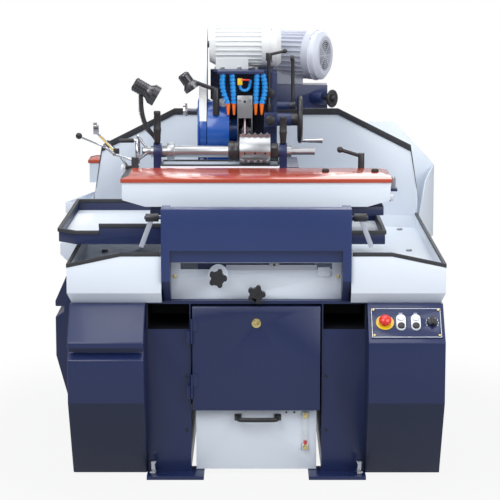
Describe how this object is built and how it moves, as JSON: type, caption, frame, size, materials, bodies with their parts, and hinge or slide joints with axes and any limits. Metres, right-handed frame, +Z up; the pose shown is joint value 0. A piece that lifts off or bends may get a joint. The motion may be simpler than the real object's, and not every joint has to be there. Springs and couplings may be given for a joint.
{
  "type": "profile cutter grinder",
  "caption": "Free-standing grinder for moulder profile cutters: motor-driven wheel head, cross saddle and covered table carrying a cutterhead arbor, splash basin and coolant tank.",
  "frame": {"origin": "centre of the four anchor holes, at floor level", "axes": "+X to the operator's right, +Y away from the operator, +Z up"},
  "size_m": [1.3867, 1.43, 1.4382],
  "materials": {
    "navy_paint": "semi-gloss enamel",
    "white_paint": "semi-gloss powder coat",
    "orange_paint": "gloss enamel",
    "blue_paint": "gloss enamel",
    "grey_paint": "semi-gloss enamel",
    "motor_paint": "semi-gloss enamel",
    "cast_navy": "painted casting",
    "steel": "ground",
    "chrome": "polished",
    "rubber": "matte",
    "black_plastic": "satin",
    "white_plastic": "gloss",
    "red_plastic": "gloss",
    "blue_plastic": "gloss",
    "brass": "polished",
    "wheel_grit": "vitrified grit",
    "black_steel": "blackened"
  },
  "bodies": {
    "machine_base": {"base_frame": "navy_paint", "foot_plates": "navy_paint", "level_bolts": "chrome", "left_cabinet": "navy_paint", "right_cabinet": "navy_paint", "splash_basin": "white_paint", "splash_guard": "white_paint", "rubber_edging": "rubber", "portal": "navy_paint", "slotted_panel": "white_paint", "bed": "cast_navy", "control_plate": "navy_paint", "rear_slide": "white_paint"},
    "coolant_tank": {"coolant_tank": "white_paint"},
    "front_door": {"front_door": "navy_paint"},
    "door_lock": {"door_lock": "brass"},
    "estop_button": {"estop_button": "red_plastic"},
    "left_start_button": {"left_start_button": "white_plastic"},
    "left_stop_button": {"left_stop_button": "black_plastic"},
    "right_start_button": {"right_start_button": "white_plastic"},
    "right_stop_button": {"right_stop_button": "black_plastic"},
    "selector_knob": {"selector_knob": "black_plastic"},
    "travel_stop_knob": {"travel_stop_knob": "black_plastic"},
    "panel_knob": {"panel_knob": "black_plastic"},
    "left_lock_lever": {"left_lock_lever": "black_steel"},
    "right_lock_lever": {"right_lock_lever": "black_steel"},
    "saddle": {"saddle": "cast_navy", "carriage_tray": "navy_paint", "tray_edging": "rubber"},
    "table": {"work_table": "steel", "slide_cover": "white_paint", "cover_cap": "orange_paint", "support_arms": "cast_navy", "drip_tray": "white_paint", "left_lamp": "black_steel"},
    "arbor": {"arbor": "steel", "cutterhead": "steel", "profile_knives": "steel", "arbor_handwheel": "chrome"},
    "left_arm_grip": {"left_arm_grip": "black_plastic"},
    "right_arm_grip": {"right_arm_grip": "black_plastic"},
    "feed_lever": {"feed_lever": "chrome"},
    "grinding_head": {"head_slide": "cast_navy", "drum_housing": "blue_paint", "wheel_guard": "steel", "belt_guard": "motor_paint", "drive_belt": "rubber", "finned_motor": "motor_paint", "rear_motor": "grey_paint", "coolant_hoses": "blue_plastic", "right_lamp": "black_steel"},
    "wheel_spindle": {"wheel_spindle": "steel", "grinding_wheel": "wheel_grit"},
    "motor_shaft": {"motor_shaft": "steel"},
    "infeed_handwheel": {"infeed_handwheel": "black_steel"},
    "long_lever": {"long_lever": "black_steel"},
    "top_clamp_lever": {"top_clamp_lever": "black_steel"},
    "right_clamp_lever": {"right_clamp_lever": "black_steel"},
    "rear_handwheel": {"rear_handwheel": "black_plastic"},
    "head_clamp_knob": {"head_clamp_knob": "chrome"}
  },
  "joints": [
    {"name": "tank_slide", "type": "slide", "parent": "machine_base", "child": "coolant_tank", "axis": [0, -1, 0], "range_m": [0, 0.5]},
    {"name": "door_swing", "type": "hinge", "parent": "machine_base", "child": "front_door", "pos_m": [-0.209, -0.5214, 0.39], "axis": [0, 0, -1], "range_deg": [0, 100]},
    {"name": "door_lock_turn", "type": "hinge", "parent": "front_door", "child": "door_lock", "pos_m": [0, -0.516, 0.508], "axis": [0, -1, 0], "range_deg": [0, 90]},
    {"name": "estop_press", "type": "slide", "parent": "machine_base", "child": "estop_button", "axis": [0, 0.6839, -0.7295], "range_m": [0, 0.006], "stiffness_N_per_m": 1500, "springref_m": -0.003},
    {"name": "left_start_press", "type": "slide", "parent": "machine_base", "child": "left_start_button", "axis": [0, 0.6839, -0.7295], "range_m": [0, 0.0025], "stiffness_N_per_m": 1200, "springref_m": -0.002},
    {"name": "left_stop_press", "type": "slide", "parent": "machine_base", "child": "left_stop_button", "axis": [0, 0.6839, -0.7295], "range_m": [0, 0.0025], "stiffness_N_per_m": 1200, "springref_m": -0.002},
    {"name": "right_start_press", "type": "slide", "parent": "machine_base", "child": "right_start_button", "axis": [0, 0.6839, -0.7295], "range_m": [0, 0.0025], "stiffness_N_per_m": 1200, "springref_m": -0.002},
    {"name": "right_stop_press", "type": "slide", "parent": "machine_base", "child": "right_stop_button", "axis": [0, 0.6839, -0.7295], "range_m": [0, 0.0025], "stiffness_N_per_m": 1200, "springref_m": -0.002},
    {"name": "selector_turn", "type": "hinge", "parent": "machine_base", "child": "selector_knob", "pos_m": [0.558, -0.604, 0.5255], "axis": [0, -0.6839, 0.7295], "range_deg": [-45, 45]},
    {"name": "travel_stop_turn", "type": "hinge", "parent": "machine_base", "child": "travel_stop_knob", "pos_m": [-0.123, -0.53, 0.6605], "axis": [0, -1, 0], "range_deg": [-90, 90]},
    {"name": "panel_knob_turn", "type": "hinge", "parent": "machine_base", "child": "panel_knob", "pos_m": [0, -0.51, 0.602], "axis": [0, -1, 0], "range_deg": [-90, 90]},
    {"name": "left_lock_swing", "type": "hinge", "parent": "machine_base", "child": "left_lock_lever", "pos_m": [-0.334, -0.486, 0.847], "axis": [1, 0, 0], "range_deg": [-18, 18]},
    {"name": "right_lock_swing", "type": "hinge", "parent": "machine_base", "child": "right_lock_lever", "pos_m": [0.334, -0.486, 0.847], "axis": [1, 0, 0], "range_deg": [-18, 18]},
    {"name": "saddle_cross", "type": "slide", "parent": "machine_base", "child": "saddle", "axis": [0, 1, 0], "range_m": [-0.03, 0.04]},
    {"name": "table_travel", "type": "slide", "parent": "saddle", "child": "table", "axis": [1, 0, 0], "range_m": [-0.15, 0.085]},
    {"name": "arbor_spin", "type": "hinge", "parent": "table", "child": "arbor", "pos_m": [0, -0.01, 1.006], "axis": [1, 0, 0], "continuous": true},
    {"name": "left_grip_turn", "type": "hinge", "parent": "table", "child": "left_arm_grip", "pos_m": [-0.339, -0.02, 1.05], "axis": [0, 0, 1], "range_deg": [-60, 60]},
    {"name": "right_grip_turn", "type": "hinge", "parent": "table", "child": "right_arm_grip", "pos_m": [0.092, -0.02, 1.05], "axis": [0, 0, 1], "range_deg": [-60, 60]},
    {"name": "feed_lever_swing", "type": "hinge", "parent": "table", "child": "feed_lever", "pos_m": [-0.411, -0.1, 0.985], "axis": [0, 1, 0], "range_deg": [-10, 20]},
    {"name": "head_infeed", "type": "slide", "parent": "machine_base", "child": "grinding_head", "axis": [0, -1, 0], "range_m": [0, 0.015]},
    {"name": "infeed_turn", "type": "hinge", "parent": "grinding_head", "child": "infeed_handwheel", "pos_m": [0.153, 0.142, 1.102], "axis": [1, 0, 0], "range_deg": [0, 1800]},
    {"name": "wheel_spin", "type": "hinge", "parent": "grinding_head", "child": "wheel_spindle", "pos_m": [-0.04, 0.235, 1.055], "axis": [1, 0, 0], "continuous": true},
    {"name": "motor_spin", "type": "hinge", "parent": "grinding_head", "child": "motor_shaft", "pos_m": [-0.18, 0.3, 1.355], "axis": [1, 0, 0], "continuous": true},
    {"name": "long_lever_swing", "type": "hinge", "parent": "grinding_head", "child": "long_lever", "pos_m": [0.12, 0.205, 1.144], "axis": [1, 0, 0], "range_deg": [-25, 25]},
    {"name": "top_clamp_turn", "type": "hinge", "parent": "grinding_head", "child": "top_clamp_lever", "pos_m": [0.044, 0.172, 1.2], "axis": [0, 0, 1], "range_deg": [-60, 20]},
    {"name": "right_clamp_turn", "type": "hinge", "parent": "table", "child": "right_clamp_lever", "pos_m": [0.358, -0.054, 0.95], "axis": [0, 0, 1], "range_deg": [-60, 60]},
    {"name": "rear_handwheel_turn", "type": "hinge", "parent": "grinding_head", "child": "rear_handwheel", "pos_m": [0.226, 0.372, 1.1578], "axis": [0.809, -0.5878, 0], "continuous": true},
    {"name": "head_knob_turn", "type": "hinge", "parent": "grinding_head", "child": "head_clamp_knob", "pos_m": [-0.25, 0.169, 1.1342], "axis": [1, 0, 0], "range_deg": [-90, 90]}
  ],
  "couplings": [
    {"joint": "motor_spin", "follows": "wheel_spin", "ratio": 1.5},
    {"joint": "infeed_turn", "follows": "head_infeed", "rad_per_m": 2094.4}
  ]
}
